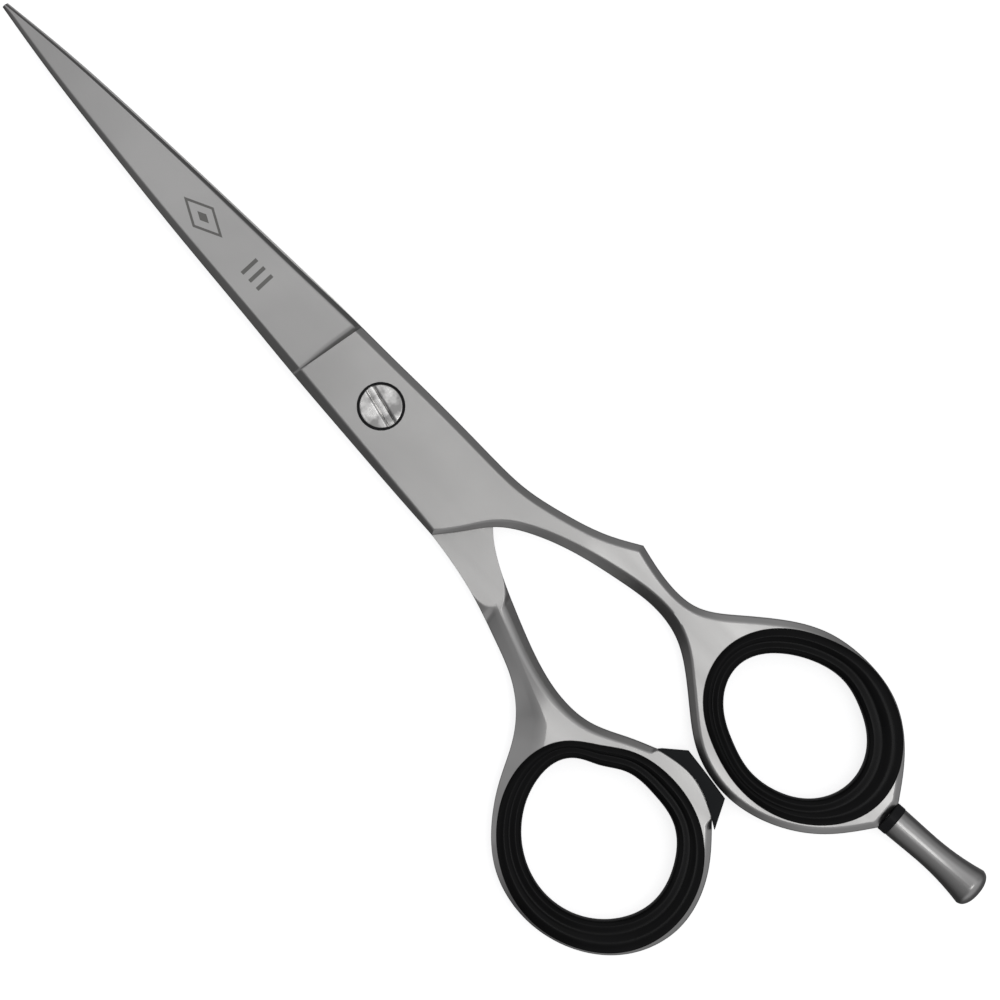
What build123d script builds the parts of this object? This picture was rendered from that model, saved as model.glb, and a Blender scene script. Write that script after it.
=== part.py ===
from build123d import *
import math
import os

# Hair cutting shears, lying flat and closed. Millimetres.
# +X runs from the pivot to the blade tips, +Y to the thumb ring's side, +Z up through the screw's head.
# The origin is on the pivot axis, at the level of the thumb half's flat back.

# Thickness, from the back up
HALF_THICK = 2.4                      # one half at the pivot
RIDE_GAP = 0.1                        # between the halves' inner flats
MATE_Z = HALF_THICK + RIDE_GAP / 2    # the plane that the halves meet on
TOP_Z = 2 * MATE_Z                    # outer flat of the finger half
RING_HALF_THICK = 1.8                 # a ring's metal, each side of the mating plane
TAPER_FROM_X = -30.0                  # the shanks thin from here
TAPER_TO_X = -44.0                    # to here
FAR_X = -100.0                        # beyond the rings
CLEAR = 50.0                          # cutting shapes reach this far past the steel's sides and tip
PAST = 1.0                            # and this far past its flat faces
MERGE = 0.1                           # joined shapes reach this far into each other

# Blade
TIP_X = 70.0
NOTCH_X = 9.8                         # where the ground blade face starts, on the centre line
FACE_MID = 1.65                       # blade thickness on the centre line at the notch
FACE_ACROSS = 0.143                   # rise of the blade face towards the spine, per mm
FACE_ALONG = 0.015                    # fall of the blade face towards the tip, per mm
EDGE_LAND = 0.12                      # height of the flat left along the cutting edge
BEVEL_WIDE = 0.55                     # ground bevel along the cutting edge
TIP_SHARE = 0.35                      # how much of the bevel and chamfer is left at the tip
SPINE_CHAMFER = 1.1
SPINE_WALL = 0.45                     # height of the spine's upright wall, as a share of the chamfer's top
EDGE_BACK = 0.2                       # each cutting edge lies this far inside the other half's spine

# Edge breaks of the flat parts
SIDE_CHAMFER = 0.9

# Pivot
HEAD_R = 2.77
HEAD_CHAMFER = 0.12
CUP_R = 3.08                          # nylon cup round the head
CUP_BORE_R = 2.80
CUP_FLOOR = 0.3
SEAT_DEEP = 1.7                       # counterbore for the cup
SHANK_R = 1.70
SHANK_BORE_R = 1.75
SLEEVE_R = 2.10                       # the cup's sleeve round the shank
SNUG = 0.02                           # gap round a pressed-in piece
HEAD_SINK = 0.04                      # the screw's head below the outer flat
END_SINK = 0.1                        # the screw's end above the back
SLOT_WIDE = 1.1
SLOT_DEEP = 0.7
SLOT_TURN = -12.0

# Ring inserts
WALL = 1.2                            # rubber between the finger and the metal
FLANGE = 0.75                         # rubber on each face of a ring
FLANGE_CHAMFER = 0.25
GROOVE_PAST = 5.0                     # the groove's cutting shape reaches this far past the flange

# Finger rest, on an axis square to its flat seat: distances along it, and radii
WASHER_THICK = 1.3
WASHER_R = 2.08
WASHER_CHAMFER = 0.1
STUD_R = 1.0
STUD_BORE_R = 1.05
STUD_LONG = 3.4
STUD_BORE_LONG = 3.6
REST_PROFILE = [(1.3, 2.0), (4.0, 1.95), (8.0, 1.93), (11.5, 2.25), (13.6, 2.62)]
REST_END = [(14.3, 2.55), (14.9, 1.9), (15.2, 0.0)]
NOTCH_WIDE = 0.9
NOTCH_DEEP = 1.2

# Bumper
BUMPER_HALF_THICK = 1.75
BUMPER_CHAMFER = 0.3
STEM_R = 0.9
STEM_BORE_R = 0.92
STEM_LONG = 2.0
STEM_BORE_LONG = 2.2

# Outlines, seen from above
SPINE = [(6, 5.58), (20, 4.73), (34, 3.85), (48, 2.72), (60, 1.58), (TIP_X, 0.28)]
BACK_SPINE = [(6, -5.25), (20, -4.62), (34, -3.8), (48, -2.88), (60, -1.85), (TIP_X, -0.6)]
FINGER_CORNER = (-16.3, 6.5)
FINGER_RIGHT = [(10.5, 5.3), (-4, 6.04), FINGER_CORNER]
FINGER_INNER = [FINGER_CORNER, (-18.8, 3.1), (-21, 0.05), (-25, -2.86), (-31, -5.34), (-37, -6.9),
                (-43, -7.79), (-49, -6.35), (-53.2, -3.6), (-59.1, 0.57), (-65.7, 1.99),
                (-72.2, 0.44), (-78.1, -3.7), (-82.2, -9.3)]
FINGER_OUTER = [(-81.79, -13.28), (-78, -17.95), (-72.1, -21.95), (-65.7, -22.82), (-59.5, -21.55),
                (-53.7, -17.75), (-50.5, -14.92), (-46, -11.73), (-42, -11.2), (-35.7, -12.15)]
FINGER_SPUR = [(-35.7, -12.15), (-34, -11.2), (-31, -9.53), (-25, -7.35), (-19, -6.08), (-4, -5.63),
               (9.05, -5.1)]
THUMB_CORNER = (-16.3, -5.8)
THUMB_LEFT = [(10.5, -5.08), (-4, -5.58), THUMB_CORNER]
THUMB_INNER = [THUMB_CORNER, (-18.6, -2.7), (-20.8, 0.05), (-25, 2.92), (-31, 5.47), (-37, 7.57),
               (-43, 8.66), (-49.1, 7.45), (-52.5, 5.77), (-55.8, 4.25)]
THUMB_RING = [(-66.9, 5.25), (-71.5, 10.2), (-74.24, 17.85), (-72, 25.05), (-66.4, 29.7),
              (-59.5, 31.3), (-52.7, 29.7), (-47.1, 25), (-42.9, 17.85), (-40, 14.13), (-37, 11.9),
              (-31, 9.62), (-25, 7.9), (-16, 6.5), (-4, 6.0), (9.05, 5.35)]
FINGER_CENTRE = (-65.7, -10.85)
FINGER_HOLE = [(-55.1, -10.85), (-57.2, -5.9), (-61.4, -3.46), (-65.7, -2.4), (-70.1, -3.15),
               (-74.1, -6), (-75.7, -10.85), (-73.7, -15.5), (-69.8, -18), (-65.7, -18.94),
               (-61.6, -18), (-57.7, -15.5)]
FINGER_FLANGE = [(-52.3, -10.85), (-54.8, -4.56), (-60.1, -1.2), (-65.7, 0.11), (-71.6, -0.67),
                 (-77.1, -4.27), (-80.1, -10.85), (-77.7, -17.8), (-72, -21.8), (-65.7, -22.63),
                 (-59.9, -20.9), (-54.8, -17.15)]
THUMB_CENTRE = (-59.5, 17.85)
THUMB_HOLE = [(-48.1, 17.85), (-50.56, 23), (-54.7, 26.2), (-59.5, 27.28), (-64.25, 26.1),
              (-68, 22.75), (-69.57, 17.85), (-68, 12.9), (-64.4, 9.4), (-59.5, 8.53),
              (-55, 9.2), (-51.9, 11.2), (-49.2, 12.9)]
THUMB_FLANGE = [(-45.2, 17.85), (-47.8, 24.6), (-53, 29.1), (-59.5, 30.94), (-66.2, 29.5),
                (-71.7, 24.9), (-73.6, 17.85), (-71.3, 11.05), (-66, 6.64), (-59.5, 5.42),
                (-53.3, 7.04), (-50.3, 9.2), (-46.8, 12.2)]
# The bumper's seat closes the thumb ring's outline between the ends of the two curves above.
BUMPER_SEAT = [THUMB_INNER[-1], (-61.4, 3.38), THUMB_RING[0]]
BUMPER = [THUMB_RING[0], (-68.2, 6.0), (-66.2, 2.3), (-58.7, 1.5), (-56.2, 3.75), THUMB_INNER[-1]]
# The flat that the other half rides on ends in this rounded nose on the shank.
FLAT_NOSE = [(-23.5, 10.5), (-26.4, 8.2), (-28.9, 6.5), (-27.4, 4.6), (-24.5, 0.5)]


def mirrored(points):
    """The same points on the other side of the X axis."""
    return [(x, -y) for x, y in points]


def grown(points, centre, amount):
    """The points moved away from the centre by an amount."""
    moved = []
    for x, y in points:
        reach = math.hypot(x - centre[0], y - centre[1])
        scale = (reach + amount) / reach
        moved.append((centre[0] + (x - centre[0]) * scale, centre[1] + (y - centre[1]) * scale))
    return moved


def closed_plate(points, z_low, z_high):
    """A plate whose outline is one smooth closed curve."""
    face = make_face(Spline(*points, periodic=True))
    return Pos(0, 0, z_low) * extrude(face, z_high - z_low)


def drum(radius, z_low, z_high):
    """A cylinder on the pivot axis."""
    return Pos(0, 0, (z_low + z_high) / 2) * Cylinder(radius, z_high - z_low)


def side_band(margin=0.0):
    """Everything within the side profile that thins the shanks towards the rings."""
    ring = RING_HALF_THICK - margin
    full = MATE_Z - margin
    half = [(TIP_X + CLEAR, full), (TAPER_FROM_X, full), (TAPER_TO_X, ring), (FAR_X, ring)]
    line = [(x, MATE_Z + z) for x, z in half] + [(x, MATE_Z - z) for x, z in reversed(half)]
    face = make_face(Plane.XZ * Polyline(*line, close=True))
    return extrude(face, CLEAR, both=True)


def blade(spine, edge_side):
    """A blade lofted through wedge sections: flat inside, sloping face, chamfered spine, bevelled edge.

    It is made with its inside on z = 0, its face up and its spine towards +Y.
    """
    sections = []
    for (x, y_spine), (_, y_edge) in zip(spine, edge_side):
        along = (x - NOTCH_X) / (TIP_X - NOTCH_X)
        share = 1 - (1 - TIP_SHARE) * max(along, 0)
        base = FACE_MID - FACE_ALONG * (x - NOTCH_X)
        chamfer_y = y_spine - SPINE_CHAMFER * share
        bevel_y = y_edge + BEVEL_WIDE * share
        if chamfer_y < bevel_y:
            chamfer_y = bevel_y = (chamfer_y + bevel_y) / 2
            chamfer_y += EDGE_LAND / 2
            bevel_y -= EDGE_LAND / 2
        chamfer_z = base + FACE_ACROSS * chamfer_y
        bevel_z = base + FACE_ACROSS * bevel_y
        line = [(x, y_edge, 0), (x, y_spine, 0), (x, y_spine, chamfer_z * SPINE_WALL), (x, chamfer_y, chamfer_z),
                (x, bevel_y, bevel_z), (x, y_edge, EDGE_LAND)]
        sections.append(make_face(Polyline(*line, close=True)))
    return loft(sections)


def finger_outline():
    """The finger half from the notch back: ricasso, shank and ring."""
    edges = [Spline(*FINGER_RIGHT), Spline(*FINGER_INNER), Line(FINGER_INNER[-1], FINGER_OUTER[0]),
             Spline(*FINGER_OUTER), Spline(*FINGER_SPUR), Line(FINGER_SPUR[-1], FINGER_RIGHT[0])]
    return make_face(edges)


def thumb_outline():
    """The thumb half from the notch back: ricasso, shank and ring."""
    edges = [Spline(*THUMB_LEFT), Spline(*THUMB_INNER), Spline(*BUMPER_SEAT),
             Spline(*THUMB_RING), Line(THUMB_RING[-1], THUMB_LEFT[0])]
    return make_face(edges)


def chamfered_body(outline, plain_between):
    """An outline at full thickness, thinned towards the ring, with its long edges chamfered.

    plain_between holds the mid points of the walls whose edges stay sharp.
    """
    body = extrude(outline, TOP_Z) & side_band()
    sides = [f for f in body.faces() if abs(f.normal_at().Z) < 0.01]
    plain = [min(sides, key=lambda f: f.distance_to(Vector(x, y, MATE_Z))) for x, y in plain_between]
    flats = [f for f in body.faces() if abs(f.normal_at().Z) > 0.9]
    keep = []
    for edge in (e for f in flats for e in f.edges()):
        on_plain = any(f.distance_to(edge @ 0.5) < 0.001 for f in plain)
        on_side = any(f.distance_to(edge @ 0.5) < 0.001 for f in sides)
        if on_side and not on_plain:
            keep.append(edge)
    return chamfer(keep, SIDE_CHAMFER)


def middle(first, last):
    """The point half way between two points."""
    return ((first[0] + last[0]) / 2, (first[1] + last[1]) / 2)


def inner_flat_cut(nose, z_low, z_high):
    """What is cut from a half so that the other can ride on it, up to the rounded nose."""
    side = 1 if nose[0][1] > 0 else -1
    far_y = -CLEAR * side
    edges = [Spline(*nose), Polyline(nose[-1], (nose[-1][0], far_y), (TIP_X + CLEAR, far_y),
                                     (TIP_X + CLEAR, nose[0][1]), nose[0])]
    return Pos(0, 0, z_low) * extrude(make_face(edges), z_high - z_low)


def finger_half():
    """Front half: blade, ricasso with the screw's seat, shank with a spur, and finger ring."""
    notch = middle(FINGER_SPUR[-1], FINGER_RIGHT[0])
    seat = middle(FINGER_INNER[-1], FINGER_OUTER[0])
    body = chamfered_body(finger_outline(), [notch, seat])
    floor = MATE_Z + RIDE_GAP / 2
    body -= inner_flat_cut(mirrored(FLAT_NOSE), -PAST, floor)
    edge_side = [(x, y + EDGE_BACK) for x, y in BACK_SPINE]
    body += Pos(0, 0, floor) * blade(SPINE, edge_side)
    body -= closed_plate(grown(FINGER_HOLE, FINGER_CENTRE, WALL), -PAST, TOP_Z + PAST)
    body -= drum(CUP_R + SNUG, TOP_Z - SEAT_DEEP, TOP_Z + PAST)
    body -= drum(SLEEVE_R + SNUG, floor - PAST, TOP_Z)
    return body - rest_axis() * Pos(0, 0, -STUD_BORE_LONG / 2) * Cylinder(STUD_BORE_R, STUD_BORE_LONG)


def thumb_half():
    """Back half: blade, ricasso with the screw's thread, shank, and thumb ring with the bumper's seat."""
    notch = middle(THUMB_RING[-1], THUMB_LEFT[0])
    body = chamfered_body(thumb_outline(), [notch])
    body -= inner_flat_cut(FLAT_NOSE, HALF_THICK, TOP_Z + PAST)
    turned_edge = [(x, -y + EDGE_BACK) for x, y in SPINE]
    body += Pos(0, 0, HALF_THICK) * Rot(180, 0, 0) * blade(mirrored(BACK_SPINE), turned_edge)
    body -= closed_plate(grown(THUMB_HOLE, THUMB_CENTRE, WALL), -PAST, TOP_Z + PAST)
    body -= drum(SHANK_BORE_R, -PAST, TOP_Z)
    return body - stem(STEM_BORE_R, STEM_BORE_LONG)


def pivot_screw():
    """Slotted screw: flush head in the nylon cup, and a plain shank into the thumb half."""
    under_head = TOP_Z - SEAT_DEEP + CUP_FLOOR + SNUG
    top = TOP_Z - HEAD_SINK
    head = drum(HEAD_R, under_head, top)
    head = chamfer(head.edges().group_by(Axis.Z)[-1], HEAD_CHAMFER)
    screw = head + drum(SHANK_R, END_SINK, under_head + MERGE)
    slot = Pos(0, 0, top) * Rot(0, 0, SLOT_TURN) * Box(4 * HEAD_R, SLOT_WIDE, 2 * SLOT_DEEP)
    return screw - slot


def pivot_bushing():
    """Nylon cup under and round the screw's head, with a sleeve round its shank."""
    floor = TOP_Z - SEAT_DEEP + SNUG
    cup = drum(CUP_R, floor, TOP_Z - 2 * SNUG) - drum(CUP_BORE_R, floor + CUP_FLOOR, TOP_Z)
    sleeve = drum(SLEEVE_R, MATE_Z + RIDE_GAP / 2, floor + CUP_FLOOR / 2)
    return cup + sleeve - drum(SHANK_BORE_R, 0, TOP_Z)


def ring_insert(hole, flange, centre):
    """Rubber ring with a channel section: a wall through the metal ring and a flange on each face."""
    metal = RING_HALF_THICK + SNUG
    reach = RING_HALF_THICK + FLANGE
    body = closed_plate(flange, MATE_Z - reach, MATE_Z + reach)
    body = chamfer(body.edges(), FLANGE_CHAMFER)
    groove = closed_plate(grown(flange, centre, GROOVE_PAST), MATE_Z - metal, MATE_Z + metal)
    groove -= closed_plate(grown(hole, centre, WALL - SNUG), 0, TOP_Z)
    body -= groove
    return body - closed_plate(hole, -PAST, TOP_Z + PAST)


def finger_ring_insert():
    """Rubber insert of the finger ring."""
    return ring_insert(FINGER_HOLE, FINGER_FLANGE, FINGER_CENTRE)


def thumb_ring_insert():
    """Rubber insert of the thumb ring."""
    return ring_insert(THUMB_HOLE, THUMB_FLANGE, THUMB_CENTRE)


def seat_frame():
    """Frame at the middle of the bumper's seat: X along the seat, Z into the ring."""
    before, at, after = BUMPER_SEAT
    along = Vector(after[0] - before[0], after[1] - before[1], 0).normalized()
    return Plane(origin=(*at, MATE_Z), x_dir=along, z_dir=along.cross(Vector(0, 0, 1)))


def stem(radius, length):
    """The bumper's stem, or the hole for it, into the ring from just short of the seat."""
    return seat_frame().location * Pos(0, 0, (length - MERGE) / 2) * Cylinder(radius, length + MERGE)


def bumper():
    """Rubber stop on the thumb ring's seat, with a stem pushed into the ring."""
    block = make_face([Spline(*BUMPER_SEAT), Polyline(*BUMPER)])
    body = Pos(0, 0, MATE_Z - BUMPER_HALF_THICK) * extrude(block, 2 * BUMPER_HALF_THICK)
    strike = middle(BUMPER[2], BUMPER[3])
    ends = body.edges().group_by(Axis.Z)
    broken = [g.sort_by_distance(Vector(*strike, MATE_Z))[0] for g in (ends[0], ends[-1])]
    body = chamfer(broken, BUMPER_CHAMFER)
    return body + stem(STEM_R, STEM_LONG)


def rest_axis():
    """Frame on the finger rest's seat, with Z out of the ring along the rest."""
    a = FINGER_INNER[-1]
    b = FINGER_OUTER[0]
    out = Vector(b[1] - a[1], a[0] - b[0], 0).normalized()
    return Plane(origin=(*middle(a, b), MATE_Z), x_dir=(0, 0, 1), z_dir=out).location


def finger_rest_washer():
    """Washer between the rest and the ring."""
    body = Cylinder(WASHER_R, WASHER_THICK)
    body = chamfer(body.edges().filter_by(GeomType.CIRCLE), WASHER_CHAMFER)
    body -= Cylinder(STUD_BORE_R, 2 * WASHER_THICK)
    return rest_axis() * Pos(0, 0, WASHER_THICK / 2 + SNUG) * body


def finger_rest():
    """Polished rest: waisted body, flared slotted end, and a stud into the ring."""
    base = REST_PROFILE[0][0] + 2 * SNUG
    side = [(r, z) for z, r in REST_PROFILE]
    side[0] = (side[0][0], base)
    end = [(r, z) for z, r in REST_END]
    profile = [Line((0, base), side[0]), Spline(*side), Spline(side[-1], *end), Line(end[-1], (0, base))]
    body = revolve(Plane.XZ * make_face(profile), Axis.Z)
    root = base + MERGE
    body += Pos(0, 0, (root - STUD_LONG) / 2) * Cylinder(STUD_R, STUD_LONG + root)
    tail = REST_END[-1][0]
    body -= Pos(0, 0, tail) * Box(NOTCH_WIDE, 4 * WASHER_R, 2 * NOTCH_DEEP)
    return rest_axis() * body


NODES = {
    "finger_half": finger_half,
    "thumb_half": thumb_half,
    "pivot_screw": pivot_screw,
    "pivot_bushing": pivot_bushing,
    "finger_ring_insert": finger_ring_insert,
    "thumb_ring_insert": thumb_ring_insert,
    "bumper": bumper,
    "finger_rest": finger_rest,
    "finger_rest_washer": finger_rest_washer,
}

os.makedirs("parts", exist_ok=True)
for name, make in NODES.items():
    export_step(make(), f"parts/{name}.step")
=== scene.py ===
import math

import bmesh
import bpy
import numpy as np
from bpy.props import FloatProperty, FloatVectorProperty, PointerProperty
from bpy.types import Operator, Panel, PropertyGroup
from mathutils import Matrix


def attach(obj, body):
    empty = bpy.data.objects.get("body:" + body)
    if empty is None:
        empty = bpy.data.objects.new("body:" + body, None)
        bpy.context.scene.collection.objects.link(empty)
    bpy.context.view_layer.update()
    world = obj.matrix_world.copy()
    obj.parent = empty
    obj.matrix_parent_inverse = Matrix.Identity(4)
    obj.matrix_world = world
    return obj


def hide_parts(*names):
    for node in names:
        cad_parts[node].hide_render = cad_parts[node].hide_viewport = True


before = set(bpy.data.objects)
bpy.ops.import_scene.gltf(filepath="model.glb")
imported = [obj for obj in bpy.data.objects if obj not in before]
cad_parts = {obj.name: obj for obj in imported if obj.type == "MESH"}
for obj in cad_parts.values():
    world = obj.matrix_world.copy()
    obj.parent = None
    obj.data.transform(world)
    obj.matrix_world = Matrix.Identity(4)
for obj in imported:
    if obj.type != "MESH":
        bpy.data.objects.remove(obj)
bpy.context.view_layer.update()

bl_info = {
    "name": "Hair cutting shears",
    "version": (1, 0, 0),
    "blender": (4, 5, 0),
    "location": "3D view > Sidebar > Shears",
    "description": "Ground steel shears with rubber ring grips, built around their working frame",
    "category": "Add Mesh",
}

MM = 0.001

# ---------------------------------------------------------------------------------------------------------
# Sizes in millimetres. Each half is drawn with its outer face up and its spine towards +Y, on a plane
# where the two halves meet at height 0, so the thumb half is drawn turned over.

MATE_Z = 2.45                 # height of the meeting plane over the back face
RIDE = 0.05                   # each inner flat stays this far from the meeting plane
FULL = 2.45                   # outer face's height at the pivot
RING = 1.8                    # half thickness of a ring's metal
NOTCH_X = 9.8                 # where the blade's grind starts, on the middle line
NOTCH_LEAN = 0.148
EDGE_LAND = 0.06              # the cutting edge's thickness above the inner flat

# A half's loop runs from the tip along the spine's side to the far end of its ring, and back along the
# cutting edge's side. The points before the ring face each other across the half, in pairs.
FINGER_SPINE = [(70, 0.28), (60, 1.58), (48, 2.72), (34, 3.85), (20, 4.73), (10.6, 5.35), (3.3, 5.72),
                (-3.3, 6.02), (-10, 6.3), (-16.3, 6.5), (-18.8, 3.1), (-21, 0.05), (-25, -2.86),
                (-31, -5.34), (-37, -6.9), (-43, -7.79), (-47.3, -7.1), (-51, -5.1), (-55.5, -1.75),
                (-59.1, 0.57), (-65.7, 1.99), (-72.2, 0.44), (-78.1, -3.7), (-82.2, -9.3)]
FINGER_EDGE = [(70, -0.4), (60, -1.65), (48, -2.68), (34, -3.62), (20, -4.42), (9.05, -5.1),
               (3.3, -5.32), (-3.3, -5.6), (-7, -5.72), (-10.4, -5.8), (-15.2, -5.88), (-20, -6.2),
               (-25.5, -7.5), (-31.6, -9.75), (-35.7, -12.15), (-42, -11.2), (-46, -11.73),
               (-50.5, -14.92), (-53.7, -17.75), (-59.5, -21.55), (-65.7, -22.82), (-72.1, -21.95),
               (-78, -17.95), (-81.79, -13.28)]
FINGER_FAR = [(-81.995, -11.29)]
FINGER_CORNERS = [9, 23, 25, 34]
FINGER_PAIRS = 18
THUMB_SPINE = [(70, 0.55), (60, 1.85), (48, 2.88), (34, 3.8), (20, 4.62), (10.6, 5.08), (3.3, 5.32),
               (-3.3, 5.56), (-10, 5.74), (-16.3, 5.8), (-18.6, 2.7), (-20.8, -0.05), (-25, -2.92),
               (-31, -5.47), (-37, -7.57), (-43, -8.66), (-47.5, -8.15), (-52.5, -5.77),
               (-55.8, -4.25), (-61.4, -3.38), (-66.9, -5.25), (-71.5, -10.2)]
THUMB_EDGE = [(70, -0.08), (60, -1.38), (48, -2.52), (34, -3.65), (20, -4.53), (9.05, -5.25),
              (3.3, -5.6), (-3.3, -5.92), (-7, -6.1), (-10.4, -6.25), (-15.2, -6.45), (-20, -6.95),
              (-25.5, -8.0), (-31.6, -9.85), (-36.5, -11.7), (-40, -14.13), (-42.2, -16.7),
              (-45, -21.7), (-47.6, -25.4), (-52.7, -29.7), (-59.5, -31.3), (-66.4, -29.7), (-72, -25.05)]
THUMB_FAR = [(-74.24, -17.85)]
THUMB_CORNERS = [9, 18, 20]
THUMB_PAIRS = 17
THUMB_SEAT = (-55.8, -66.9)   # the stop sits against the thumb ring between these x

PIVOT_FROM, PIVOT_TO = 6, 7   # the bore lies between these two pairs
NOTCH_PAIR = 5                # the notch lies at this pair
# Places of extra rows about the notch, as distances towards the tip, and the span they are a share of.
NOTCH_ROWS = [-0.5, -0.25, -0.1, 0.03, 0.08, 0.15, 0.25, 0.4, 0.6, 0.8, 1.0, 1.2]
NOTCH_SPAN = 9.4
BODY_STEP = 0.45              # rows are no further apart than this along the blade and shank
RING_STEP = 0.4               # and than this round a ring
RIM = 1.3                     # a ring's metal starts this far outside its grip's hole
# Each half's bore at the pivot, as (radius, height) from the outer face down.
FINGER_BORE = [(3.1, FULL), (3.1, FULL - 1.7), (2.12, FULL - 1.7), (2.12, RIDE)]
THUMB_BORE = [(1.75, FULL), (1.75, RIDE)]

# The grips' holes and the outlines of their flanges, the thumb's drawn turned over like its half.
FINGER_CENTRE = (-65.7, -10.85)
FINGER_HOLE = [(-55.1, -10.85), (-57.2, -5.9), (-61.4, -3.46), (-65.7, -2.4), (-70.1, -3.15), (-74.1, -6),
               (-75.7, -10.85), (-73.7, -15.5), (-69.8, -18), (-65.7, -18.94), (-61.6, -18), (-57.7, -15.5)]
FINGER_FLANGE = [(-52.3, -10.85), (-54.8, -4.56), (-60.1, -1.2), (-65.7, 0.11), (-71.6, -0.67),
                 (-77.1, -4.27), (-80.1, -10.85), (-77.7, -17.8), (-72, -21.8), (-65.7, -22.63),
                 (-59.9, -20.9), (-54.8, -17.15)]
FINGER_NEAR = 0.05            # direction of the near end of each ring from its centre
THUMB_NEAR = 0.32
THUMB_CENTRE = (-59.5, -17.85)
THUMB_HOLE = [(-48.1, -17.85), (-50.56, -23), (-54.7, -26.2), (-59.5, -27.28), (-64.25, -26.1),
              (-68, -22.75), (-69.57, -17.85), (-68, -12.9), (-64.4, -9.4), (-59.5, -8.53), (-55, -9.2),
              (-51.9, -11.2), (-49.2, -12.9)]
THUMB_FLANGE = [(-45.2, -17.85), (-47.8, -24.6), (-53, -29.1), (-59.5, -30.94), (-66.2, -29.5),
                (-71.7, -24.9), (-73.6, -17.85), (-71.3, -11.05), (-66, -6.64), (-59.5, -5.42),
                (-53.3, -7.04), (-50.3, -9.2), (-46.8, -12.2)]
# A grip's profile as (distance, share of the rubber's width, height over the meeting plane).
GRIP_PROFILE = [(0, 0, 0.02), (0, 0, 0.9), (0.06, 0, 1.5), (0.3, 0, 2.08), (0.68, 0, 2.34), (1.0, 0.02, 2.33),
                (1.05, 0.12, 2.26), (0.8, 0.3, 2.36), (0.5, 0.5, 2.52), (0.2, 0.66, 2.55), (0, 0.82, 2.46),
                (0, 0.93, 2.24), (0, 1.0, 1.9)]
GRIP_GROOVE = [(0, 1, 1.84), (-0.08, 1, 1.82), (1.22, 0, 1.82)]

# The rubber stop's two long sides, from its blunt end to its point, and its half height.
STOP_HALF = 1.75
STOP_SEAT = [(-55.85, 4.22), (-61.4, 3.38), (-66.9, 5.25), (-68.15, 5.95)]
STOP_STRIKE = [(-56.2, 3.75), (-58.7, 1.5), (-62.4, 1.86), (-66.2, 2.3), (-68.2, 6.0)]
STOP_CORNERS = [1, 3]
STOP_ROUND = 0.3              # radius of the striking side's edges
STOP_CRISP = 0.06             # radius of the seat side's edges

# The etched ornament on the finger blade: a lozenge and three bars across the blade.
LOZENGE_X = 33.0
LOZENGE_LONG = 3.6
LOZENGE_WIDE = 1.8
BARS_X = (21.6, 23.0, 24.4)
BAR_HALF_WIDE = 0.26
BAR_HALF_LONG = 1.3

# The pivot screw, and its profile under the head as (radius, height). The slot's profile is how far it
# falls at each distance from its middle.
HEAD_R = 2.77
HEAD_TOP = 4.86
SLOT_TURN = -12
SLOT_PLACES = [0, 0.36, 0.42, 0.54, 0.57, 0.68, 0.72]
SLOT_FALLS = [0.6, 0.62, 1.0, 1.02, 0.1, 0.02, 0]
RIM_BREAK = 0.08              # width and depth of the break round the head
HEAD_CHORDS = [0, 0.2, 0.35, 0.37, 0.42, 0.48, 0.54, 0.57, 0.62, 0.68, 0.72, 0.9, 1.2, 1.5, 1.8, 2.1,
               2.35, 2.55, 2.67, 2.73, 2.76, HEAD_R]
SCREW_BODY = [(2.77, 3.6), (2.7, 3.52), (1.75, 3.5), (1.7, 3.45), (1.7, 0.25), (1.6, 0.12), (1.55, 0.1),
              (1.0, 0.1), (0, 0.1)]

# The stage, in metres.
FLOOR_Z = -0.0004
SHADE_R = 0.04
SHADE_PLACE = (-0.01, 0, 0.92)
LAMP_PLACE = (-0.22, -0.12, 1.15)
LAMP_TARGET = (-0.06, -0.02, 0)
LAMP_SIDE = 0.4
LAMP_POWER = 1.0
SENSOR = 36
FRAME_CENTRE = (-0.0190, -0.00285, 0.0045)
ACROSS_FRAME = (-0.6852, -0.7284)
# Brightness across the studio as (place, grey): 0 is -Y, 0.5 is overhead and 1 is +Y. The two ends of the
# ramp come first.
STUDIO_RAMP = [(0, 0.3), (1, 0.1), (0.07, 0.32), (0.2, 0.75), (0.38, 0.5), (0.5, 0.46), (0.56, 0.44),
               (0.7, 0.26), (0.88, 0.22), (0.96, 0.16)]
STUDIO_SIDES = (0.5, 0.5, 0.51, 1)


# ---------------------------------------------------------------------------------------------------------
# Curves

def ease(t):
    """0 to 1 with level ends: t squared times 3 - 2t."""
    t = np.clip(t, 0, 1)
    return t * t * (3 - 2 * t)


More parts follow.
